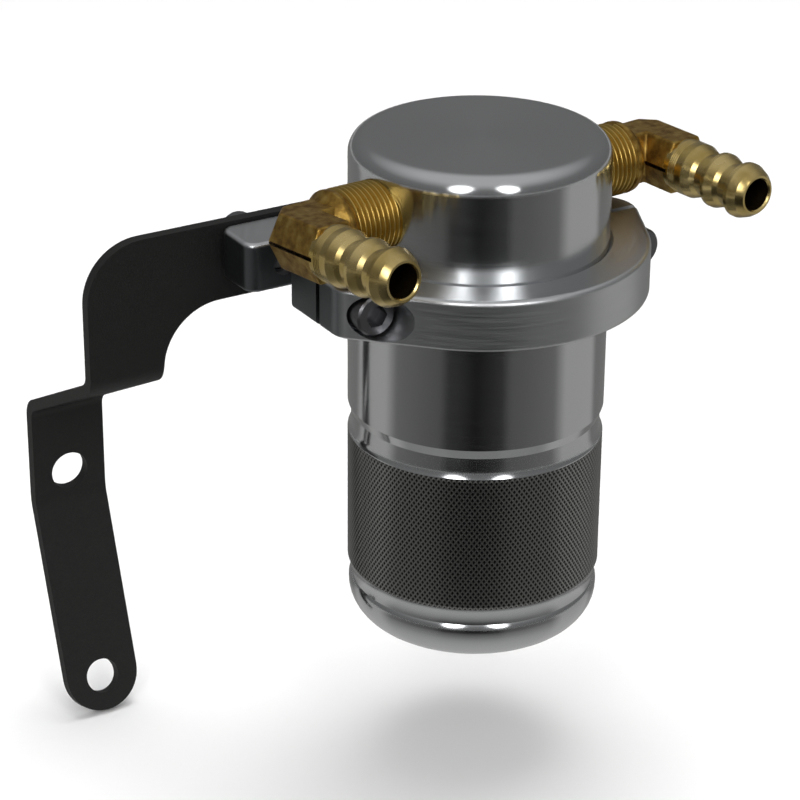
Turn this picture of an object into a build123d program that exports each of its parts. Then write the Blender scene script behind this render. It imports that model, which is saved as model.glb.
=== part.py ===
from build123d import *
import os
from math import cos, radians, sin, tan

# Oil catch can on a bent bracket. Millimetres, Z up. Every piece is drawn with the can's axis as Z and the top
# of the clamp as the level 0, and is moved at the end so that the bracket's upper bolt hole is the origin.

# Head of the can, turned from one bar
can_radius = 31.75
head_rise = 26.0
head_drop = 45.2
head_top_round = 4.5
head_wall = 6.25
roof_thickness = 6.0
head_chamfer_in = 0.9
head_chamfer_up = 2.5
spigot_inset = 3.25
spigot_length = 13.0
spigot_chamfer = 0.8

# Collection cup, with a knurled band between two smooth rims
cup_height = 57.2
cup_wall = 3.75
cup_floor = 5.0
thread_clearance = 0.08
rim_inset = 0.9
rim_height = 5.5
band_taper = 2.0
band_notch = 1.0
base_bulge = 4.0
base_land = 1.7
base_inset = 0.3
base_round = 9.5
bowl_round = 4.0
thread_relief = 2.0

# Seal between head and cup
seal_section = 0.7
seal_clearance = 0.04

# Taper-threaded elbows with barbed hose ends
inlet_height = 12.6
outlet_height = 10.1
port_turn = 7.2
inlet_tilt = 3.0
outlet_tilt = -0.6
port_thread_radius = 9.2
port_taper = 1.79
port_clearance = 0.03
elbow_standoff = 22.75
elbow_thread_length = 19.0
elbow_bore = 4.0
elbow_half_width = 6.8
elbow_half_height = 6.8
elbow_bevel = 5.0
elbow_band = 1.0
elbow_draft = 22.0
collar_length = 3.2
collar_land = 0.8
elbow_arm = 14.3
barb_start = 18.3
barb_crest = 6.9
barb_land = 1.2
barb_slope = 2.2
barb_shoulder = 6.05
barb_fall = 1.1
barb_root = 5.3
barb_pitch = 8.05
barb_count = 3
barb_tip_chamfer = 0.5

# Flow baffle and the mesh pack that strains the oil out
baffle_thickness = 2.0
pack_clearance = 0.15
screen_thickness = 1.5
pack_top = -10.0
mesh_height = 20.0
screen_hole_radius = 2.4
screen_hole_pitch = 7.4
ring_wire = 1.6
ring_bite = 1.0
ring_gap_angle = 24.0

# Two-piece clamp
clamp_height = 12.7
clamp_clearance = 0.1
clamp_wall = 9.85
clamp_edge = 1.2
clamp_bore_edge = 0.7
split_front = -3.7
split_rear = -2.0
left_ear_length = 4.8
left_ear_round = 7.0
left_ear_front = -9.0
left_ear_rear = 9.7
right_ear_length = 3.5
right_ear_round = 10.0
foot_wall = 4.65
foot_depth = 15.0
foot_length = 10.0
foot_round = 3.5

# Six millimetre socket screws, washers
screw_radius = 3.0
screw_clearance = 0.3
tapped_clearance = 0.03
screw_length = 16.0
head_radius = 5.0
head_height = 6.0
head_edge = 0.5
socket_flats = 5.0
socket_depth = 3.0
washer_radius = 5.5
washer_thickness = 1.6
sink_radius = 5.7
pinch_left_wall = 7.35
pinch_right_wall = 6.85
sink_left_floor = -10.0
sink_right_floor = -6.5

# Bracket bent from flat steel
plate_thickness = 3.0
plate_rise = 0.8
strip_width = 20.0
leg_standoff = 45.8
plate_right = 15.0
outer_corner = 15.0
inner_corner = 15.5
end_corner = 6.0
joggle_level = -36.0
joggle_depth = 37.0
joggle_drop = 19.5
joggle_bend = 5.0
toe_level = -82.5
toe_angle = 17.7
toe_bend = 12.0
toe_length = 59.1
upper_hole_level = -75.5
upper_hole_radius = 5.0
lower_hole_radius = 4.5
lower_hole_inset = 9.3
foot_screw_wall = 9.65
foot_screw_right_x = -12.0
short_screw_length = 10.0

# Levels that follow from the sizes above
parting = -head_drop
can_bottom = parting - cup_height
cup_bore = can_radius - cup_wall
chamber_radius = can_radius - head_wall
spigot_radius = can_radius - spigot_inset
elbow_reach = can_radius + elbow_standoff
seal_groove = spigot_radius + 2 * (seal_section + seal_clearance)
clamp_bore = can_radius + clamp_clearance
clamp_radius = clamp_bore + clamp_wall
left_ear_reach = clamp_radius + left_ear_length
right_ear_reach = clamp_radius + right_ear_length
foot_reach = clamp_radius + foot_length
foot_rear = clamp_bore + foot_wall
foot_front = foot_rear - foot_depth
pinch_left_x = -(clamp_bore + pinch_left_wall)
pinch_right_x = clamp_bore + pinch_right_wall
foot_screw_left_x = -(clamp_bore + foot_screw_wall)
plate_left = -(clamp_radius + leg_standoff)
clamp_middle = -clamp_height / 2
plate_front = foot_rear
plate_back = plate_front + plate_thickness
ridge_length = barb_land + barb_slope + barb_fall
barb_end = barb_start + (barb_count - 1) * barb_pitch + ridge_length + barb_tip_chamfer


def turned(points):
    """Solid of revolution about Z from (radius, level) points."""
    return revolve(make_face(Polyline([(r, 0, z) for r, z in points], close=True)), Axis.Z)


def rod(radius, start, length):
    """Round bar along +Y from the point start."""
    return Plane(origin=start, x_dir=(1, 0, 0), z_dir=(0, 1, 0)) * extrude(Circle(radius), length)


def place_right(piece, tilt):
    """Put an elbow on the right-hand port: tilted about its own thread, then turned with the can."""
    return Rot(0, 0, port_turn) * Pos(elbow_reach, 0, outlet_height) * Rot(-tilt, 0, 0) * piece


def place_left(piece, tilt):
    """Put an elbow on the left-hand port, the same piece turned end for end."""
    return Rot(0, 0, port_turn) * Pos(-elbow_reach, 0, inlet_height) * Rot(-tilt, 0, 180) * Rot(180, 0, 0) * piece


def taper_thread(length, extra):
    """Tapered thread plug along X, wide end at x = 0, running to -X."""
    narrow = port_thread_radius - length * tan(radians(port_taper))
    side = Polyline([(0, 0), (0, port_thread_radius + extra), (-length, narrow + extra), (-length, 0)], close=True)
    return revolve(make_face(side), Axis.X)


# Head: closed top, rounded shoulder, chamber, threaded spigot and two tapped ports
head_outer = [
    (0, head_rise),
    (can_radius, head_rise),
    (can_radius, parting + head_chamfer_up),
    (can_radius - head_chamfer_in, parting),
    (spigot_radius, parting),
    (spigot_radius, parting - spigot_length + spigot_chamfer),
    (spigot_radius - spigot_chamfer, parting - spigot_length),
    (0, parting - spigot_length),
]
upper_body = turned(head_outer)
upper_body = fillet(upper_body.edges().group_by(Axis.Z)[-1], head_top_round)
chamber_height = head_rise - roof_thickness - parting + spigot_length
upper_body -= Pos(0, 0, parting - spigot_length) * extrude(Circle(chamber_radius), chamber_height)
ring_level = pack_top - mesh_height - 2 * screen_thickness - ring_wire / 2
ring_groove = Pos(0, 0, ring_level - ring_wire / 2) * extrude(Circle(chamber_radius + ring_bite), ring_wire)
upper_body -= ring_groove
thread_start = -(elbow_half_width + collar_length)
for side, level in ((0, outlet_height), (180, inlet_height)):
    tap = Pos(elbow_reach + thread_start, 0, level) * taper_thread(elbow_thread_length, port_clearance)
    upper_body -= Rot(0, 0, port_turn + side) * tap

# Cup: knurled band between two rounded rims, threaded bore, bowl
rim_low = parting - rim_height
bulge_low = can_bottom + base_round + base_land
band_low = bulge_low + base_bulge
notch_radius = can_radius - band_notch
base_radius = can_radius - base_inset
with BuildPart() as cup_build:
    with BuildSketch(Plane.XZ) as cup_side:
        with BuildLine():
            Polyline((0, can_bottom), (base_radius - base_round, can_bottom))
            RadiusArc((base_radius - base_round, can_bottom), (base_radius, can_bottom + base_round), -base_round)
            Line((base_radius, can_bottom + base_round), (base_radius, bulge_low))
            Spline(
                (base_radius, bulge_low),
                (notch_radius, band_low),
                tangents=[(0, 1), (-0.7, 1)],
            )
            Polyline((notch_radius, band_low), (can_radius, band_low + band_taper), (can_radius, rim_low))
            Spline((can_radius, rim_low), (can_radius - rim_inset, parting), tangents=[(0, 1), (-0.6, 1)])
            Polyline((can_radius - rim_inset, parting), (0, parting), (0, can_bottom))
        make_face()
    revolve(axis=Axis.Z)
collection_cup = cup_build.part
bowl = Pos(0, 0, can_bottom + cup_floor) * extrude(Circle(cup_bore), cup_height - cup_floor)
bowl = fillet(bowl.edges().group_by(Axis.Z)[0], bowl_round)
collection_cup -= bowl
thread_bore = spigot_radius + thread_clearance
mouth_depth = spigot_length + thread_relief
collection_cup -= Pos(0, 0, parting - mouth_depth) * extrude(Circle(thread_bore), mouth_depth)
seal_depth = 2 * (seal_section + seal_clearance)
collection_cup -= Pos(0, 0, parting - seal_depth) * extrude(Circle(seal_groove), seal_depth)

# Seal ring in the cup's mouth
seal_middle = spigot_radius + seal_section + seal_clearance
cup_o_ring = Pos(0, 0, parting - seal_depth + seal_section) * Torus(seal_middle, seal_section)

# Elbow: tapered thread, collar, forged corner with a cut outer edge, barbed tail. Corner at the origin,
# thread towards -X, tail towards -Y. The two die halves met in a narrow band half way up, and the forging's
# sides lean in above and below it. The arms were cut to length afterwards.
arm_plan = [
    (elbow_half_width, -2 * elbow_arm),
    (elbow_half_width, elbow_half_width - elbow_bevel),
    (elbow_half_width - elbow_bevel, elbow_half_width),
    (2 * thread_start, elbow_half_width),
    (2 * thread_start, -elbow_half_width),
    (-elbow_half_width, -elbow_half_width),
    (-elbow_half_width, -2 * elbow_arm),
]
plan = make_face(Polyline(arm_plan, close=True))
die_depth = elbow_half_height - elbow_band / 2
die_half = Pos(0, 0, elbow_band / 2) * extrude(plan, die_depth, taper=elbow_draft)
forging = extrude(plan, elbow_band / 2, both=True) + die_half + mirror(die_half, Plane.XY)
arm_trim = 2 * (elbow_arm - thread_start)
trim_align = (Align.MIN, Align.MIN, Align.CENTER)
forging &= Pos(thread_start, -elbow_arm, 0) * Box(arm_trim, arm_trim, arm_trim, align=trim_align)
collar_side = [
    (thread_start, 0),
    (thread_start, port_thread_radius),
    (thread_start + collar_land, port_thread_radius),
    (thread_start + collar_length, elbow_half_height),
    (thread_start + collar_length, 0),
]
collar = revolve(make_face(Polyline(collar_side, close=True)), Axis.X)
barb_side = [(0, -barb_end), (barb_root - barb_tip_chamfer, -barb_end)]
for ridge in reversed(range(barb_count)):
    crest = barb_start + ridge * barb_pitch
    barb_side += [(barb_root, -crest - ridge_length), (barb_shoulder, -crest - barb_land - barb_slope)]
    barb_side += [(barb_crest, -crest - barb_land), (barb_crest, -crest), (barb_root, -crest)]
# The first ridge runs on as a plain seat for the hose clip, up to the forging
barb_side[-2:] = [(barb_crest, -elbow_arm), (0, -elbow_arm)]
tail = revolve(make_face(Polyline(barb_side, close=True)), Axis.Y)
thread_plug = Pos(thread_start, 0, 0) * taper_thread(elbow_thread_length, 0)
elbow = forging + collar + tail + thread_plug
thread_run = elbow_thread_length - thread_start
passage = Plane.YZ * Pos(0, 0, elbow_bore) * extrude(Circle(elbow_bore), -thread_run - elbow_bore)
passage += Plane.XZ * Pos(0, 0, -elbow_bore) * extrude(Circle(elbow_bore), barb_end + elbow_bore)
beyond_mitre = Rot(0, 0, 45) * Pos(thread_run / 2, 0, 0) * Box(thread_run, 2 * thread_run, thread_run)
elbow -= passage - beyond_mitre
inlet_elbow = place_left(elbow, inlet_tilt)
outlet_elbow = place_right(elbow, outlet_tilt)

# Baffle across the chamber, and the mesh pack on its retaining ring
roof = head_rise - roof_thickness
baffle_half = (chamber_radius**2 - (baffle_thickness / 2) ** 2) ** 0.5 - pack_clearance
flow_baffle = Box(baffle_thickness, 2 * baffle_half, roof - pack_top)
flow_baffle = Rot(0, 0, port_turn) * Pos(0, 0, (roof + pack_top) / 2) * flow_baffle
pack_radius = chamber_radius - pack_clearance
holes = HexLocations(screen_hole_pitch / 2, 5, 5)
holes_inside = [p for p in holes if p.position.length < pack_radius - screen_hole_radius - 2.0]
screen = extrude(Circle(pack_radius), screen_thickness)
screen -= [p * extrude(Circle(screen_hole_radius), screen_thickness) for p in holes_inside]
upper_screen = Pos(0, 0, pack_top - screen_thickness) * screen
mesh_pad = Pos(0, 0, pack_top - screen_thickness - mesh_height) * extrude(Circle(pack_radius), mesh_height)
lower_screen = Pos(0, 0, ring_level + ring_wire / 2) * screen
ring_outer = chamber_radius + ring_bite - pack_clearance
ring_arc = Circle(ring_outer) - Circle(ring_outer - 2 * ring_bite - pack_clearance)
ring_gap = 2 * ring_outer * sin(radians(ring_gap_angle / 2))
ring_arc -= Pos(0, -ring_outer) * Rectangle(ring_gap, 2 * ring_outer)
retaining_ring = Pos(0, 0, ring_level - ring_wire / 2) * extrude(ring_arc, ring_wire)

# Clamp: ring with two ears and a foot that lies on the bracket, split across the ears
left_corner = Pos(-left_ear_reach + left_ear_round, left_ear_front) * Circle(left_ear_round)
left_ear = make_hull((Circle(clamp_radius) + left_corner).edges())
ear_depth = left_ear_rear - left_ear_front
left_block = Pos(-left_ear_reach / 2, left_ear_front + ear_depth / 2) * Rectangle(left_ear_reach, ear_depth)
right_corner = Pos(right_ear_reach - right_ear_round, 0) * Circle(right_ear_round)
right_ear = make_hull((Circle(clamp_radius) + right_corner).edges())
foot = Pos(-foot_reach / 2, foot_front + foot_depth / 2) * Rectangle(foot_reach, foot_depth)
foot = fillet(foot.vertices().group_by(Axis.X)[0], foot_round)
clamp_plan = left_ear + left_block + right_ear + foot
behind = Pos(0, foot_rear + clamp_radius) * Rectangle(4 * clamp_radius, 2 * clamp_radius)
clamp_plan -= behind
clamp = Pos(0, 0, -clamp_height) * extrude(clamp_plan, clamp_height)
rear_edges = clamp.edges().filter_by(lambda e: abs(e.center().Y - foot_rear) < 0.01)
rim_edges = [e for e in clamp.edges().filter_by(Plane.XY) if e not in rear_edges]
clamp = fillet(rim_edges, clamp_edge)
clamp -= Pos(0, 0, -clamp_height) * extrude(Circle(clamp_bore), clamp_height)
bore_edges = clamp.edges().filter_by(lambda e: e.geom_type == GeomType.CIRCLE and abs(e.radius - clamp_bore) < 0.001)
clamp = chamfer(bore_edges, clamp_bore_edge)
for x, floor in ((pinch_left_x, sink_left_floor), (pinch_right_x, sink_right_floor)):
    clamp -= rod(sink_radius, (x, floor - 2 * clamp_radius, clamp_middle), 2 * clamp_radius)
    clamp -= rod(screw_radius + screw_clearance, (x, floor, clamp_middle), split_front - floor)
    tapped_end = floor - washer_thickness + screw_length + 0.5
    clamp -= rod(screw_radius + tapped_clearance, (x, split_front, clamp_middle), tapped_end - split_front)
for x in (foot_screw_left_x, foot_screw_right_x):
    clamp -= rod(screw_radius + tapped_clearance, (x, foot_front, clamp_middle), foot_depth)
half = 3 * clamp_radius
front_half = Pos(0, split_front - half / 2, 0) * Box(2 * half, half, 2 * half)
rear_half = Pos(0, split_rear + half / 2, 0) * Box(2 * half, half, 2 * half)
clamp_cap = clamp & front_half
clamp_body = clamp & rear_half


def socket_screw(length):
    """Socket screw with its head towards -Y and the underside of the head at the origin."""
    body = rod(head_radius, (0, -head_height, 0), head_height)
    body = chamfer(body.edges().group_by(Axis.Y)[0], head_edge)
    mouth = Plane(origin=(0, -head_height, 0), x_dir=(1, 0, 0), z_dir=(0, 1, 0))
    body -= mouth * extrude(RegularPolygon(socket_flats / 2, 6, major_radius=False), socket_depth)
    body += rod(screw_radius, (0, 0, 0), length)
    return chamfer(body.edges().group_by(Axis.Y)[-1], head_edge)


# Screws and washers: two pinch the clamp, two come through the bracket from behind
screw = socket_screw(screw_length)
short_screw = socket_screw(short_screw_length)
washer = rod(washer_radius, (0, -washer_thickness, 0), washer_thickness)
washer -= rod(screw_radius + screw_clearance, (0, -washer_thickness, 0), washer_thickness)

pinch_washer_left = Pos(pinch_left_x, sink_left_floor, clamp_middle) * washer
pinch_screw_left = Pos(pinch_left_x, sink_left_floor - washer_thickness, clamp_middle) * screw
pinch_washer_right = Pos(pinch_right_x, sink_right_floor, clamp_middle) * washer
pinch_screw_right = Pos(pinch_right_x, sink_right_floor - washer_thickness, clamp_middle) * screw
bracket_washer_left = Pos(foot_screw_left_x, plate_back, clamp_middle) * Rot(0, 0, 180) * washer
bracket_washer_right = Pos(foot_screw_right_x, plate_back, clamp_middle) * Rot(0, 0, 180) * washer
screw_seat = plate_back + washer_thickness
bracket_screw_left = Pos(foot_screw_left_x, screw_seat, clamp_middle) * Rot(0, 0, 180) * screw
bracket_screw_right = Pos(foot_screw_right_x, screw_seat, clamp_middle) * Rot(0, 0, 180) * short_screw

# Bracket: the bent section, trimmed to the outline that was cut from flat sheet
sheet_middle = plate_front + plate_thickness / 2
leg_middle = sheet_middle + joggle_depth
toe_run = toe_length * sin(radians(toe_angle))
toe_fall = toe_length * cos(radians(toe_angle))
section_points = [
    (sheet_middle, plate_rise),
    (sheet_middle, joggle_level),
    (leg_middle, joggle_level - joggle_drop),
    (leg_middle, toe_level),
    (leg_middle - toe_run, toe_level - toe_fall),
]
with BuildPart() as plate_build:
    with BuildSketch(Plane.YZ.offset(plate_left)):
        with BuildLine() as section_line:
            Polyline(section_points)
            fillet(section_line.vertices().sort_by_distance(section_points[3])[0], toe_bend)
            for bend in section_points[1:3]:
                fillet(section_line.vertices().sort_by_distance(bend)[0], joggle_bend)
        trace(line_width=plate_thickness)
    extrude(amount=plate_right - plate_left)
leg_right = plate_left + strip_width
strip_low = plate_rise - strip_width
section_floor = toe_level - toe_fall - strip_width
outline_points = [
    (plate_left, plate_rise),
    (plate_right, plate_rise),
    (plate_right, strip_low),
    (leg_right, strip_low),
    (leg_right, section_floor),
    (plate_left, section_floor),
]
outline = make_face(Polyline(outline_points, close=True))
outline = fillet(outline.vertices().sort_by_distance((plate_left, plate_rise))[0], outer_corner)
outline = fillet(outline.vertices().sort_by_distance((leg_right, strip_low))[0], inner_corner)
outline = fillet(outline.vertices().group_by(Axis.X)[-1], end_corner)
outline_prism = Plane.XZ * extrude(outline, -2 * (leg_middle + plate_thickness))
bracket_plate = plate_build.part & outline_prism
toe_end = bracket_plate.faces().sort_by(Axis.Z)[0]
bracket_plate = fillet(toe_end.edges().filter_by(lambda e: e.length < 2 * plate_thickness), strip_width / 2 - 0.05)
leg_centre = plate_left + strip_width / 2
leg_front = leg_middle - plate_thickness / 2
bracket_plate -= rod(upper_hole_radius, (leg_centre, leg_front - plate_thickness, upper_hole_level), 3 * plate_thickness)
lower_run = toe_length - lower_hole_inset
lower_hole = (
    leg_centre,
    leg_middle - lower_run * sin(radians(toe_angle)),
    toe_level - lower_run * cos(radians(toe_angle)),
)
toe_normal = (0, cos(radians(toe_angle)), -sin(radians(toe_angle)))
lower_plane = Plane(origin=lower_hole, x_dir=(1, 0, 0), z_dir=toe_normal)
bracket_plate -= lower_plane * extrude(Circle(lower_hole_radius), plate_thickness, both=True)
for x in (foot_screw_left_x, foot_screw_right_x):
    bracket_plate -= rod(screw_radius + screw_clearance, (x, plate_front, clamp_middle), plate_thickness)

# The upper bolt hole's mouth at the back of the leg becomes the origin
datum = Pos(-leg_centre, -(leg_middle + plate_thickness / 2), -upper_hole_level)
pieces = {
    "upper_body": upper_body,
    "collection_cup": collection_cup,
    "cup_o_ring": cup_o_ring,
    "inlet_elbow": inlet_elbow,
    "outlet_elbow": outlet_elbow,
    "flow_baffle": flow_baffle,
    "upper_screen": upper_screen,
    "mesh_pad": mesh_pad,
    "lower_screen": lower_screen,
    "retaining_ring": retaining_ring,
    "clamp_body": clamp_body,
    "clamp_cap": clamp_cap,
    "pinch_screw_left": pinch_screw_left,
    "pinch_screw_right": pinch_screw_right,
    "pinch_washer_left": pinch_washer_left,
    "pinch_washer_right": pinch_washer_right,
    "bracket_plate": bracket_plate,
    "bracket_screw_left": bracket_screw_left,
    "bracket_screw_right": bracket_screw_right,
    "bracket_washer_left": bracket_washer_left,
    "bracket_washer_right": bracket_washer_right,
}
os.makedirs("parts", exist_ok=True)
for name, piece in pieces.items():
    export_step(datum * piece, f"parts/{name}.step")
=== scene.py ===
from math import cos, pi, radians, sin, tan

import bmesh
import bpy
from mathutils import Matrix, Vector


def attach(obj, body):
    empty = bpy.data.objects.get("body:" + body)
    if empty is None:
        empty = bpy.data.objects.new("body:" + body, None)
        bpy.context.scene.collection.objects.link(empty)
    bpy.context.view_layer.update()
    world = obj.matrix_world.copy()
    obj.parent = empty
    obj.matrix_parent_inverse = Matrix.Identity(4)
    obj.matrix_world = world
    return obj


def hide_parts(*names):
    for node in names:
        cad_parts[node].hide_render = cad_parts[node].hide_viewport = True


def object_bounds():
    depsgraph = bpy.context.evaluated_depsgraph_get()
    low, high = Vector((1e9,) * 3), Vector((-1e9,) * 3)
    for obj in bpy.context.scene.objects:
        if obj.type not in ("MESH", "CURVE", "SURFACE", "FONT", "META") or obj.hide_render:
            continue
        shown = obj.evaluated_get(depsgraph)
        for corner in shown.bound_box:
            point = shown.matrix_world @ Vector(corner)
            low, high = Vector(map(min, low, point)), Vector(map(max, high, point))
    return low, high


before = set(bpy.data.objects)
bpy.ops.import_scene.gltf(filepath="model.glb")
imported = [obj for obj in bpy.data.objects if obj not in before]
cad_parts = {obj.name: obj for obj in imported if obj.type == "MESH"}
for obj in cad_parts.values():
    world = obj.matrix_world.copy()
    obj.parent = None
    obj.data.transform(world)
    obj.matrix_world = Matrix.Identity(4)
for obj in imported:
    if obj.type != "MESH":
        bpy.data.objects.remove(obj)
cad_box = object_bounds()

# Upper body: the head of the can, turned from one aluminium bar. The tool leaves fine rings round the wall
# and across the flat top, so the metal blurs what it reflects up and down the wall.
can_axis = Vector((0.0775, -0.0765, 0.0))


def start_material(name, metallic):
    """New material with its node tree and its shader."""
    material = bpy.data.materials.new(name)
    material.use_nodes = True
    shader = material.node_tree.nodes["Principled BSDF"]
    shader.inputs["Metallic"].default_value = metallic
    return material, material.node_tree, shader


def add_node(tree, kind, inputs=(), **settings):
    """Node of a kind with its settings, and its inputs set or linked by name."""
    node = tree.nodes.new(kind)
    for setting, value in settings.items():
        setattr(node, setting, value)
    for socket, value in dict(inputs).items():
        if isinstance(value, bpy.types.NodeSocket):
            tree.links.new(value, node.inputs[socket])
        else:
            node.inputs[socket].default_value = value
    return node


def build_tool_rings():
    """Rings that a cutting tool leaves round an upright axis, broken into streaks along the cut."""
    group = bpy.data.node_groups.new("tool_rings", "ShaderNodeTree")
    group.interface.new_socket("Axis", in_out="INPUT", socket_type="NodeSocketVector")
    group.interface.new_socket("Rings per metre", in_out="INPUT", socket_type="NodeSocketFloat")
    group.interface.new_socket("Streaks round", in_out="INPUT", socket_type="NodeSocketFloat")
    group.interface.new_socket("Rings", in_out="OUTPUT", socket_type="NodeSocketFloat")
    given = group.nodes.new("NodeGroupInput")
    rings_per_metre = given.outputs["Rings per metre"]
    place = add_node(group, "ShaderNodeTexCoord")
    moved = add_node(group, "ShaderNodeVectorMath", {0: place.outputs["Object"], 1: given.outputs["Axis"]},
                     operation="SUBTRACT")
    flat = add_node(group, "ShaderNodeVectorMath", {0: moved.outputs[0], 1: (1, 1, 0)},
                    operation="MULTIPLY")
    radius = add_node(group, "ShaderNodeVectorMath", {0: flat.outputs[0]}, operation="LENGTH")
    level = add_node(group, "ShaderNodeSeparateXYZ", {0: moved.outputs[0]})
    across = add_node(group, "ShaderNodeMath", {0: radius.outputs["Value"], 1: rings_per_metre},
                      operation="MULTIPLY")
    along = add_node(group, "ShaderNodeMath", {0: level.outputs["Z"], 1: rings_per_metre},
                     operation="MULTIPLY")
    bearing = add_node(group, "ShaderNodeVectorMath", {0: flat.outputs[0]}, operation="NORMALIZE")
    spread = add_node(group, "ShaderNodeVectorMath",
                      {0: bearing.outputs[0], "Scale": given.outputs["Streaks round"]}, operation="SCALE")
    parts = add_node(group, "ShaderNodeSeparateXYZ", {0: spread.outputs[0]})
    point = add_node(group, "ShaderNodeCombineXYZ",
                     {"X": across.outputs[0], "Y": along.outputs[0], "Z": parts.outputs["X"]})
    noise = add_node(group, "ShaderNodeTexNoise",
                     {"Vector": point.outputs[0], "W": parts.outputs["Y"], "Scale": 1.0, "Detail": 2.0},
                     noise_dimensions="4D")
    result = group.nodes.new("NodeGroupOutput")
    group.links.new(noise.outputs["Fac"], result.inputs["Rings"])
    return group


tool_rings = build_tool_rings()


def add_rings(tree, per_metre, streaks):
    """The tool rings in a material, about the can's axis."""
    node = tree.nodes.new("ShaderNodeGroup")
    node.node_tree = tool_rings
    node.inputs["Axis"].default_value = can_axis
    node.inputs["Rings per metre"].default_value = per_metre
    node.inputs["Streaks round"].default_value = streaks
    return node.outputs["Rings"]


def vary_roughness(tree, shader, pattern, low, high):
    """Roughness from low to high over the middle half of a pattern that runs from 0 to 1."""
    node = add_node(tree, "ShaderNodeMapRange", {"Value": pattern, "From Min": 0.25, "From Max": 0.75,
                                                 "To Min": low, "To Max": high})
    tree.links.new(node.outputs["Result"], shader.inputs["Roughness"])


def add_bump(tree, shader, height, strength, distance):
    """Bump on a shader from a height pattern, distance in metres."""
    bump = add_node(tree, "ShaderNodeBump",
                    {"Height": height, "Strength": strength, "Distance": distance})
    tree.links.new(bump.outputs["Normal"], shader.inputs["Normal"])


turned_aluminium, tree, shader = start_material("turned_aluminium_dressed", 1)
shader.inputs["Base Color"].default_value = (0.60, 0.61, 0.62, 1)
shader.inputs["Anisotropic"].default_value = 0.8
shader.inputs["Anisotropic Rotation"].default_value = 0.25
turn_direction = add_node(tree, "ShaderNodeTangent", direction_type="RADIAL", axis="Z")
tree.links.new(turn_direction.outputs["Tangent"], shader.inputs["Tangent"])
fine_rings = add_rings(tree, 5000, 2.0)
vary_roughness(tree, shader, fine_rings, 0.12, 0.18)
add_bump(tree, shader, fine_rings, 0.15, 0.00002)


def dress(node, material):
    """Give a CAD node its finished material."""
    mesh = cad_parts[node].data
    mesh.materials.clear()
    mesh.materials.append(material)


dress("upper_body", turned_aluminium)

# Collection cup: turned from the same bar and screwed on from below. Two crossed knurling wheels pressed
# the diamond grip into the wall between the hollowed rim and the rounded base. Sizes are in millimetres.
mm = 0.001
cup_radius = 31.75
knurl_columns = 312
knurl_rows = 40
knurl_depth = 0.36
knurl_reach = 0.01
band_top = 24.8
band_bottom = -10.5
row_height = (band_top - band_bottom) / knurl_rows
cup_bottom = -26.9
base_radius = 31.45
base_round = 9.5
bulge_level = -17.13
bulge_round = 3.0
base_cone = [(30.75, -14.6), (31.1, -10.8)]
rim_hollow = 4.8
rim_hollow_centre = (35.772, 27.518)
rim_radius = 30.72
rim_top = 30.3
seal_radius = 29.98
seal_level = 28.82
thread_radius = 28.58
thread_bottom = 15.3
bowl_radius = 28.0
bowl_round = 4.0
bowl_floor = -21.9
cup_crease = radians(30)
knurled = 1


def spin_chain(points, axis, steps, closed=False):
    """Shell spun about an axis through the origin from a chain of points in millimetres."""
    shell = bmesh.new()
    chain = [shell.verts.new(Vector(point) * mm) for point in points]
    partners = chain[1:] + chain[:1] if closed else chain[1:]
    edges = [shell.edges.new(pair) for pair in zip(chain, partners)]
    bmesh.ops.spin(shell, geom=chain + edges, axis=axis, angle=2 * pi, steps=steps, use_merge=True)
    bmesh.ops.remove_doubles(shell, verts=shell.verts, dist=1e-7)
    bmesh.ops.recalc_face_normals(shell, faces=shell.faces)
    return shell


def arc_points(centre, radius, start, end, count):
    """Points on an arc in the (radius, level) plane, angles in degrees."""
    turns = [radians(start + (end - start) * step / count) for step in range(count + 1)]
    return [(centre[0] + radius * cos(turn), centre[1] + radius * sin(turn)) for turn in turns]


def place_mesh(shell, name, place, *materials):
    """Object from a finished bmesh, moved to its place."""
    shell.transform(place)
    mesh = bpy.data.meshes.new(name)
    shell.to_mesh(mesh)
    shell.free()
    for material in materials:
        mesh.materials.append(material)
    piece = bpy.data.objects.new(name, mesh)
    bpy.context.scene.collection.objects.link(piece)
    return piece


def add_noise(tree, scale, detail=2.0):
    """Noise through a piece, fixed to its own metal."""
    place = add_node(tree, "ShaderNodeTexCoord")
    noise = add_node(tree, "ShaderNodeTexNoise",
                     {"Vector": place.outputs["Object"], "Scale": scale, "Detail": detail})
    return noise.outputs["Fac"]


def add_ramp(tree, value, *stops):
    """Colour from a value, through (position, colour) stops in rising order."""
    node = add_node(tree, "ShaderNodeValToRGB", {"Fac": value})
    first, *between, last = stops
    elements = node.color_ramp.elements
    for element, (position, colour) in zip(elements, (first, last)):
        element.position = position
        element.color = (*colour, 1)
    for position, colour in between:
        elements.new(position).color = (*colour, 1)
    return node.outputs["Color"]


def vary_colour(tree, shader, pattern, *stops):
    """Base colour that follows a pattern through the stops of a ramp."""
    tree.links.new(add_ramp(tree, pattern, *stops), shader.inputs["Base Color"])


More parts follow.
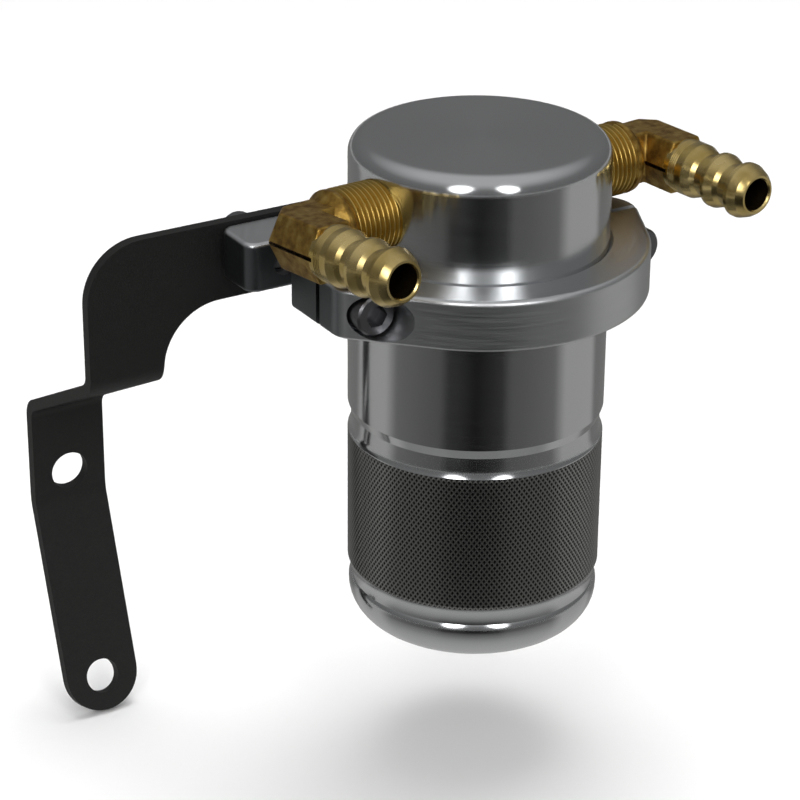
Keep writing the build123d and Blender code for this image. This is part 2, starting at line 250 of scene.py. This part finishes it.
cup_side = [(0, cup_bottom)]
cup_side += arc_points((base_radius - base_round, cup_bottom + base_round), base_round, -90, 0, 12)
cup_side += arc_points((base_radius - bulge_round, bulge_level), bulge_round, 0, 40, 8)
cup_side += base_cone
cup_side += [(cup_radius, band_bottom + row * row_height) for row in range(knurl_rows + 1)]
cup_side += arc_points(rim_hollow_centre, rim_hollow, 213, 185, 8)
cup_side += [(rim_radius, rim_top), (seal_radius, rim_top), (seal_radius, seal_level)]
cup_side += [(thread_radius, seal_level), (thread_radius, thread_bottom), (bowl_radius, thread_bottom)]
cup_side += arc_points((bowl_radius - bowl_round, bowl_floor + bowl_round), bowl_round, 0, -90, 8)
cup_side += [(0, bowl_floor)]
cup_shell = spin_chain([(radius, 0, level) for radius, level in cup_side], (0, 0, 1), knurl_columns)
for face in cup_shell.faces:
    face.smooth = True
pit_layer = cup_shell.verts.layers.float.new("pit")
crests = []
for vert in cup_shell.verts:
    level = vert.co.z / mm
    on_wall = vert.co.xy.length / mm > cup_radius - knurl_reach
    if on_wall and band_bottom - knurl_reach < level < band_top + knurl_reach:
        row = round((level - band_bottom) / row_height)
        column = round(vert.co.xy.angle_signed(Vector((1, 0))) / (2 * pi) * knurl_columns)
        if (row + column) % 2:
            vert[pit_layer] = 1
        else:
            crests.append(vert)
bmesh.ops.connect_verts(cup_shell, verts=crests)
for vert in cup_shell.verts:
    if vert[pit_layer]:
        vert.co.xy *= 1 - knurl_depth / cup_radius
        for face in vert.link_faces:
            face.material_index = knurled
for edge in cup_shell.edges:
    edge.smooth = edge.calc_face_angle() < cup_crease or edge.link_faces[0].material_index == knurled

knurl_painted_shade, tree, shader = start_material("knurl_painted_shade", 1)
# The knurl's crests are painted darker than the turned wall and its pits near-black: painted shade in the
# grooves between the diamonds.
pit = add_node(tree, "ShaderNodeAttribute", attribute_name="pit")
vary_colour(tree, shader, pit.outputs["Fac"], (0.15, (0.40, 0.40, 0.39)), (0.6, (0.025, 0.025, 0.025)))
vary_roughness(tree, shader, add_noise(tree, 4000.0), 0.28, 0.42)
cup_place = Matrix.Translation(can_axis)
cup = place_mesh(cup_shell, "knurled_cup", cup_place, turned_aluminium, knurl_painted_shade)
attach(cup, "cup")
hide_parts("collection_cup")

# Seal: black rubber ring in the cup's mouth, squeezed under the head's shoulder.
seal_rubber, tree, shader = start_material("seal_rubber_dressed", 0)
shader.inputs["Base Color"].default_value = (0.018, 0.018, 0.019, 1)
vary_roughness(tree, shader, add_noise(tree, 900.0), 0.5, 0.7)
dress("cup_o_ring", seal_rubber)

# Elbows: forged brass with a rough brown corner, its sides leaning in from the band where the dies met and
# the flash was sheared off. The taper thread and the ridged tail are turned afterwards, so they show clean
# yellow metal. The thread is screwed into the head until the tail points forward.
port_turn = radians(7.2)
elbow_reach = 54.5
clamp_top = 75.5
thread_pitch = 1.41
thread_depth = 0.85
thread_wide = 9.2
thread_from = -10.6
thread_to = -28.6
thread_taper = tan(radians(1.79))
thread_steps = 60
round_steps = 64
block_half = 6.8
block_high = 6.8
corner_cut = 1.8
tail_stock = 30
thread_stock = 20
flash_half = 0.5
draft = tan(radians(22))
die_round = 0.6
arm_end = 14.3
collar_end = 10.0
ring_pitch = 0.6
ridge_radius = 6.9
ridge_pitch = 8.05
first_ridge = 18.3
tail_core = 5.3
tail_end = 39.4
bore_radius = 4.0
elbow_crease = radians(12)
forged, machined, threaded, sheared, bored = range(5)


def spin_tail():
    """Ridged tail along -Y with its bore, closed inside the forging, with tool rings beside it."""
    start = arm_end - 1
    neck = ridge_radius - 0.15
    outside = [(neck, start), (neck, arm_end + 0.2), (ridge_radius, arm_end + 0.3)]
    for ring in range(4):
        groove = arm_end + 0.8 + ring_pitch * ring
        outside += [(ridge_radius, groove), (ridge_radius - 0.1, groove + 0.2)]
        outside += [(ridge_radius, groove + 0.4)]
    for ridge in range(3):
        crest = first_ridge + ridge_pitch * ridge
        if ridge:
            outside += [(tail_core, crest), (ridge_radius - 0.12, crest)]
        outside += [(ridge_radius, crest + 0.12), (ridge_radius, crest + 1.2)]
        outside += [(6.05, crest + 3.4), (tail_core, crest + 4.5)]
    inside = [(4.85, tail_end), (bore_radius + 0.3, tail_end), (bore_radius, tail_end - 0.4)]
    inside += [(bore_radius, start)]
    loop = [(radius, -along, 0) for radius, along in outside + inside]
    tail = spin_chain(loop, (0, 1, 0), round_steps, closed=True)
    for face in tail.faces:
        in_bore = face.calc_center_median().xz.length / mm < bore_radius + 0.1
        face.material_index = bored if in_bore else machined
    return tail


def spin_thread():
    """Taper thread along -X: one groove wound from the collar to the small end."""
    thread = bmesh.new()
    turns = round((thread_from - thread_to) / thread_pitch) - 1
    crest = thread_wide
    shoulder = crest - 0.04
    root = thread_wide - thread_depth
    tooth = [(0.0, root), (0.14, root), (0.46, shoulder), (0.52, crest), (0.62, crest)]
    tooth += [(0.68, shoulder), (1.0, root)]
    points = [(thread_from - share * thread_pitch, 0, radius) for share, radius in tooth]
    chain = [thread.verts.new(Vector(point) * mm) for point in points]
    edges = [thread.edges.new(pair) for pair in zip(chain, chain[1:])]
    lead = (-thread_pitch * mm / thread_steps, 0, 0)
    bmesh.ops.spin(thread, geom=chain + edges, axis=(1, 0, 0), dvec=lead,
                   angle=2 * pi * turns, steps=thread_steps * turns)
    bmesh.ops.remove_doubles(thread, verts=thread.verts, dist=2e-6)
    for vert in thread.verts:
        vert.co.yz *= 1 + (vert.co.x / mm + collar_end) * thread_taper / thread_wide
    for face in thread.faces:
        face.material_index = threaded
    return thread


def forge_corner():
    """Corner with two arms: sheared band, leaning sides, arms cut to length, edges rounded by the die."""
    block = bmesh.new()
    plan = [(block_half, -tail_stock), (block_half, corner_cut), (corner_cut, block_half),
            (-thread_stock, block_half), (-thread_stock, -block_half), (-block_half, -block_half),
            (-block_half, -tail_stock)]
    corners = [block.verts.new((x * mm, y * mm, -flash_half * mm)) for x, y in plan]
    low_face = block.faces.new(corners)
    raised = bmesh.ops.extrude_face_region(block, geom=[low_face], use_keep_orig=True)
    top = [item for item in raised["geom"] if isinstance(item, bmesh.types.BMVert)]
    bmesh.ops.translate(block, verts=top, vec=(0, 0, 2 * flash_half * mm))
    bmesh.ops.recalc_face_normals(block, faces=block.faces)
    for face in block.faces:
        face.material_index = sheared
    flats = [face for face in block.faces if abs(face.normal.z) > 0.9]
    lean = (block_high - flash_half) * mm
    inset = bmesh.ops.inset_region(block, faces=flats, thickness=lean * draft, depth=lean,
                                   use_even_offset=True)
    for face in inset["faces"] + flats:
        face.material_index = forged
    for point, normal in (((0, -arm_end * mm, 0), (0, -1, 0)), ((-collar_end * mm, 0, 0), (-1, 0, 0))):
        everything = block.verts[:] + block.edges[:] + block.faces[:]
        painted_end_shade = bmesh.ops.bisect_plane(block, geom=everything, plane_co=point, plane_no=normal,
                                      clear_outer=True)
        sawn_edges = [item for item in painted_end_shade["geom_cut"] if isinstance(item, bmesh.types.BMEdge)]
        bmesh.ops.contextual_create(block, geom=sawn_edges)
    rims = [edge for edge in block.edges if edge.is_manifold and edge.calc_face_angle() > radians(25)
            and max(abs(vert.co.z) for vert in edge.verts) > 2 * flash_half * mm]
    bmesh.ops.bevel(block, geom=rims, offset=die_round * mm, segments=3, profile=0.5, affect="EDGES",
                    material=-1)
    bmesh.ops.recalc_face_normals(block, faces=block.faces)
    return block


def spin_collar():
    """Shoulder between the thread and the forging."""
    start = thread_from - thread_pitch
    side = [(start, 0), (start, 8.4), (thread_from - 0.3, 8.6), (thread_from, thread_wide - 0.1)]
    side += [(-9.8, thread_wide), (-9.2, thread_wide - 0.1), (-6.5, 6.5), (-5.0, 0)]
    collar = spin_chain([(x, 0, radius) for x, radius in side], (1, 0, 0), round_steps)
    for face in collar.faces:
        face.material_index = forged
    return collar


def elbow_place(side, level, tilt):
    """Where an elbow sits: its corner out from the can's axis, thread inwards, tail forward and tilted."""
    outward = side * Vector((cos(port_turn), sin(port_turn), 0))
    forward = Vector((sin(port_turn), -cos(port_turn), 0))
    tail = forward * cos(radians(tilt)) + Vector((0, 0, sin(radians(tilt))))
    across = outward.cross(-tail)
    turned = Matrix((outward, -tail, across)).transposed().to_4x4()
    corner = can_axis + outward * elbow_reach * mm + Vector((0, 0, (clamp_top + level) * mm))
    return Matrix.Translation(corner) @ turned


machined_brass, tree, shader = start_material("machined_brass", 1)
stain = add_noise(tree, 140.0, 4.0)
vary_colour(tree, shader, stain, (0.3, (0.44, 0.32, 0.10)), (0.62, (0.64, 0.50, 0.22)))
vary_roughness(tree, shader, stain, 0.2, 0.3)

threaded_brass, tree, shader = start_material("threaded_brass", 1)
shader.inputs["Base Color"].default_value = (0.58, 0.40, 0.11, 1)
vary_roughness(tree, shader, add_noise(tree, 700.0, 3.0), 0.25, 0.4)

forged_brass, tree, shader = start_material("forged_brass", 1)
tarnish = add_noise(tree, 420.0, 6.0)
vary_colour(tree, shader, tarnish, (0.35, (0.20, 0.115, 0.028)), (0.5, (0.34, 0.205, 0.045)),
            (0.68, (0.48, 0.325, 0.09)))
vary_roughness(tree, shader, tarnish, 0.52, 0.38)
add_bump(tree, shader, add_noise(tree, 1400.0, 3.0), 0.5, 0.00015)

# The band where the dies met is painted near-black, painted shade along the band, with a rough grain in its
# roughness and bump.
flash_band_shaded_brass, tree, shader = start_material("flash_band_shaded_brass", 1)
band_grain_and_shade = add_noise(tree, 900.0, 3.0)
vary_colour(tree, shader, band_grain_and_shade, (0.4, (0.020, 0.012, 0.005)), (0.75, (0.12, 0.075, 0.03)))
vary_roughness(tree, shader, band_grain_and_shade, 0.6, 0.45)
add_bump(tree, shader, band_grain_and_shade, 0.6, 0.0002)

# The bore is painted near-black: painted shade inside the hole, with uneven roughness.
bored_brass, tree, shader = start_material("bored_brass", 1)
bore_shade = add_noise(tree, 600.0)
vary_colour(tree, shader, bore_shade, (0, (0.010, 0.007, 0.004)), (1, (0.055, 0.036, 0.014)))
vary_roughness(tree, shader, bore_shade, 0.7, 0.5)

for name, side, level, tilt in (("inlet", -1, 12.6, 3.0), ("outlet", 1, 10.1, -0.6)):
    elbow = bmesh.new()
    for shape in (forge_corner(), spin_tail(), spin_thread(), spin_collar()):
        for face in shape.faces:
            face.smooth = True
        scratch = bpy.data.meshes.new("elbow_part")
        shape.to_mesh(scratch)
        shape.free()
        elbow.from_mesh(scratch)
        bpy.data.meshes.remove(scratch)
    for edge in elbow.edges:
        edge.smooth = not edge.is_manifold or edge.calc_face_angle() < elbow_crease
    piece = place_mesh(elbow, name + "_brass_elbow", elbow_place(side, level, tilt),
                       forged_brass, machined_brass, threaded_brass, flash_band_shaded_brass, bored_brass)
    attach(piece, "head")
    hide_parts(name + "_elbow")

# Mesh pack and baffle: hidden in the head. Punched stainless discs hold a pad of knitted wire, a spring
# ring keeps them up, and a plain sheet parts the inlet side from the outlet side.
punched_steel, tree, shader = start_material("punched_steel", 1)
shader.inputs["Base Color"].default_value = (0.50, 0.50, 0.49, 1)
rolled_place = add_node(tree, "ShaderNodeTexCoord")
rolled = add_node(tree, "ShaderNodeMapping",
                  {"Vector": rolled_place.outputs["Object"], "Scale": (40, 3000, 3000)})
rolling = add_node(tree, "ShaderNodeTexNoise", {"Vector": rolled.outputs["Vector"], "Scale": 1.0})
vary_roughness(tree, shader, rolling.outputs["Fac"], 0.3, 0.45)
for node in ("upper_screen", "lower_screen", "retaining_ring", "flow_baffle"):
    dress(node, punched_steel)

knitted_wire, tree, shader = start_material("knitted_wire", 1)
shader.inputs["Roughness"].default_value = 0.4
wire_place = add_node(tree, "ShaderNodeTexCoord")
loops = add_node(tree, "ShaderNodeTexVoronoi", {"Vector": wire_place.outputs["Object"], "Scale": 700.0},
                 feature="DISTANCE_TO_EDGE")
# Steel grey along the wire loops; the gaps between them are painted near-black, painted shade in the pad's
# depth.
vary_colour(tree, shader, loops.outputs["Distance"], (0, (0.5, 0.5, 0.48)), (0.2, (0.03, 0.03, 0.03)))
dress("mesh_pad", knitted_wire)

# Clamp: two halves sawn from one aluminium plate and milled round the outside, which leaves streaks along
# the wall. The sides at the end by the left pinch screw are painted darker than the rest of the wall,
# painted shade for the dark room they reflect, while the tops stay light. The foot of the rear half lies on
# the bracket.
end_shade_full_at = 0.0578
end_shade_gone_at = 0.0592
end_shade_direction = (1, -0.3, 0)
milled_aluminium, tree, shader = start_material("milled_aluminium_dressed", 1)
plate_place = add_node(tree, "ShaderNodeTexCoord")
from_end = add_node(tree, "ShaderNodeVectorMath", {0: plate_place.outputs["Object"], 1: end_shade_direction},
                    operation="DOT_PRODUCT")
plate_facing = add_node(tree, "ShaderNodeSeparateXYZ", {0: plate_place.outputs["Normal"]})
at_end = add_node(tree, "ShaderNodeMapRange",
                  {"Value": from_end.outputs["Value"], "From Min": end_shade_full_at, "From Max": end_shade_gone_at,
                   "To Min": 1.0, "To Max": 0.0})
on_side = add_node(tree, "ShaderNodeMapRange",
                   {"Value": plate_facing.outputs["Z"], "From Min": 0.2, "From Max": 0.6,
                    "To Min": 1.0, "To Max": 0.0})
painted_end_shade = add_node(tree, "ShaderNodeMath", {0: at_end.outputs["Result"], 1: on_side.outputs["Result"]},
                operation="MULTIPLY")
# Painted shade: the sides go dark towards the left end, the tops keep the metal's colour.
vary_colour(tree, shader, painted_end_shade.outputs["Value"], (0, (0.60, 0.61, 0.62)), (1, (0.20, 0.21, 0.22)))
streaks = add_rings(tree, 2600, 4.0)
vary_roughness(tree, shader, streaks, 0.30, 0.42)
add_bump(tree, shader, streaks, 0.05, 0.00003)
for node in ("clamp_body", "clamp_cap"):
    dress(node, milled_aluminium)

# Screws and washers: plated six millimetre socket screws. Two pinch the clamp, two hold it to the bracket.
screw_steel, tree, shader = start_material("screw_steel_dressed", 1)
shader.inputs["Base Color"].default_value = (0.19, 0.19, 0.20, 1)
vary_roughness(tree, shader, add_noise(tree, 1500.0), 0.28, 0.45)
for holder in ("pinch", "bracket"):
    for fastener in ("screw", "washer"):
        for hand in ("left", "right"):
            dress(f"{holder}_{fastener}_{hand}", screw_steel)

# Bracket: flat steel cut as an angle and bent with a joggle and a slanted toe, under a fine textured black
# powder coat. Its leg bolts to a panel through the two open holes.
powder_coat, tree, shader = start_material("powder_coat", 0)
shader.inputs["Specular IOR Level"].default_value = 0.38
grit = add_noise(tree, 2600.0)
vary_colour(tree, shader, grit, (0.35, (0.004, 0.004, 0.004)), (0.7, (0.011, 0.011, 0.010)))
vary_roughness(tree, shader, grit, 0.5, 0.65)
add_bump(tree, shader, grit, 0.4, 0.00012)
dress("bracket_plate", powder_coat)

# Studio: plain white floor under the bracket's toe, two tall soft boxes beside the camera and a wide one
# overhead, all of them dimmer towards their edges. A grey card on the floor, seen only in the metal, stands
# for the room: pale under the can and at both sides, dark towards the camera.
scene = bpy.context.scene
scene.view_settings.view_transform = "Standard"
floor_level = cad_box[0].z - 0.0002
floor_radius = 6
card_radius = 1.6
card_lift = 0.0001
card_turn = radians(-56.9)
card_dark = (0.008, 0.008, 0.008)
card_pale = (0.5, 0.5, 0.49, 1)
card_warmth = 0.97
camera_place = Vector((-0.27571, -0.61858, 0.33340))
camera_target = Vector((0.05336, -0.08010, 0.03866))
camera_roll = radians(0.462)
box_target = can_axis + Vector((0, 0, 0.05))
box_fade = 0.7
box_gain = 2.4


def add_stage(name, shell, material):
    """Studio surface that isn't part of the object."""
    place = Matrix.Translation((can_axis.x, can_axis.y, floor_level))
    surface = place_mesh(shell, name, place, material)
    return surface


floor_white, tree, shader = start_material("floor_white", 0)
shader.inputs["Base Color"].default_value = (0.95, 0.95, 0.95, 1)
shader.inputs["Roughness"].default_value = 0.9
floor_shell = bmesh.new()
bmesh.ops.create_circle(floor_shell, cap_ends=True, radius=floor_radius, segments=64)
add_stage("floor", floor_shell, floor_white)

room_card, tree, shader = start_material("room_card", 0)
tree.nodes.remove(shader)
card_place = add_node(tree, "ShaderNodeTexCoord")
card_centred = add_node(tree, "ShaderNodeMapping",
                        {"Vector": card_place.outputs["Object"], "Location": -can_axis})
card_turned = add_node(tree, "ShaderNodeMapping",
                       {"Vector": card_centred.outputs["Vector"], "Rotation": (0, 0, card_turn)})
sweep = add_node(tree, "ShaderNodeTexGradient", {"Vector": card_turned.outputs["Vector"]},
                 gradient_type="RADIAL")
card_stops = [(0, card_dark), (1, card_dark)]
for bearing, shade in ((22, 0.03), (30, 0.10), (70, 0.17), (82, 0.42), (118, 0.42), (126, 0.2)):
    card_shade = (shade, shade, shade * card_warmth)
    card_stops += [(bearing / 360, card_shade), (1 - bearing / 360, card_shade)]
card_colour = add_ramp(tree, sweep.outputs["Fac"], *sorted(card_stops))
card_reach = add_node(tree, "ShaderNodeVectorMath", {0: card_centred.outputs["Vector"]}, operation="LENGTH")
farness = add_node(tree, "ShaderNodeMapRange",
                   {"Value": card_reach.outputs["Value"], "From Min": 0.06, "From Max": 0.14},
                   interpolation_type="SMOOTHSTEP")
card_mix = add_node(tree, "ShaderNodeMixRGB",
                    {"Fac": farness.outputs["Result"], "Color1": card_pale, "Color2": card_colour})
glow = add_node(tree, "ShaderNodeEmission", {"Color": card_mix.outputs["Color"], "Strength": 1.0})
tree.links.new(glow.outputs["Emission"], tree.nodes["Material Output"].inputs["Surface"])
card_shell = bmesh.new()
bmesh.ops.create_circle(card_shell, cap_ends=True, radius=card_radius, segments=64)
card = add_stage("reflection_card", card_shell, room_card)
card.data.transform(Matrix.Translation((0, 0, card_lift)))
card.visible_camera = False
card.visible_diffuse = False
card.visible_shadow = False

camera_data = bpy.data.cameras.new("camera")
camera_data.sensor_width = 36
camera_data.lens = 129.312
camera = bpy.data.objects.new("camera", camera_data)
level_aim = (camera_target - camera_place).to_track_quat("-Z", "Y").to_matrix()
aim = level_aim @ Matrix.Rotation(camera_roll, 3, "Z")
camera.matrix_world = Matrix.Translation(camera_place) @ aim.to_4x4()
scene.collection.objects.link(camera)
scene.camera = camera

toward_camera = (camera_place - can_axis) * Vector((1, 1, 0))
toward_camera.normalize()


def add_soft_box(name, bearing, height, distance, width, tall, radiance):
    """Soft box aimed at the can: bearing right of the camera and height above the floor in degrees."""
    level = Matrix.Rotation(radians(bearing), 3, "Z") @ toward_camera
    direction = level * cos(radians(height)) + Vector((0, 0, sin(radians(height))))
    lamp = bpy.data.lights.new(name, "AREA")
    lamp.shape = "RECTANGLE"
    lamp.size = width
    lamp.size_y = tall
    lamp.energy = radiance * pi * width * tall
    lamp.use_nodes = True
    cloth = lamp.node_tree
    cloth_place = add_node(cloth, "ShaderNodeNewGeometry")
    centred = add_node(cloth, "ShaderNodeMapping", {"Vector": cloth_place.outputs["Parametric"],
                                                    "Location": (-1, -1, 0), "Scale": (2, 2, 0)})
    fading = add_node(cloth, "ShaderNodeTexGradient", {"Vector": centred.outputs["Vector"]},
                      gradient_type="SPHERICAL")
    bulb = add_node(cloth, "ShaderNodeMapRange",
                    {"Value": fading.outputs["Fac"], "From Max": box_fade, "To Max": box_gain},
                    interpolation_type="SMOOTHSTEP")
    cloth.links.new(bulb.outputs["Result"], cloth.nodes["Emission"].inputs["Strength"])
    box = bpy.data.objects.new(name, lamp)
    box_aim = (-direction).to_track_quat("-Z", "Y").to_matrix().to_4x4()
    box.matrix_world = Matrix.Translation(box_target + direction * distance) @ box_aim
    box.visible_camera = False
    scene.collection.objects.link(box)
    return box


add_soft_box("left_soft_box", -17, 32, 1.3, 0.5, 1.2, 3.0)
add_soft_box("right_soft_box", 26, 32, 1.3, 0.45, 1.2, 3.0)
overhead = add_soft_box("overhead_soft_box", 180, 80, 1.6, 1.6, 1.6, 3.2)
overhead.visible_glossy = False

room = bpy.data.worlds.new("room")
room.use_nodes = True
scene.world = room
tree = room.node_tree
sky_place = add_node(tree, "ShaderNodeTexCoord")
sky_level = add_node(tree, "ShaderNodeSeparateXYZ", {0: sky_place.outputs["Generated"]})
sky_colour = add_ramp(tree, sky_level.outputs["Z"], (0.1, (0.16, 0.16, 0.16)), (0.5, (0.2, 0.2, 0.2)),
                      (0.9, (0.55, 0.55, 0.55)))
tree.links.new(sky_colour, tree.nodes["Background"].inputs["Color"])
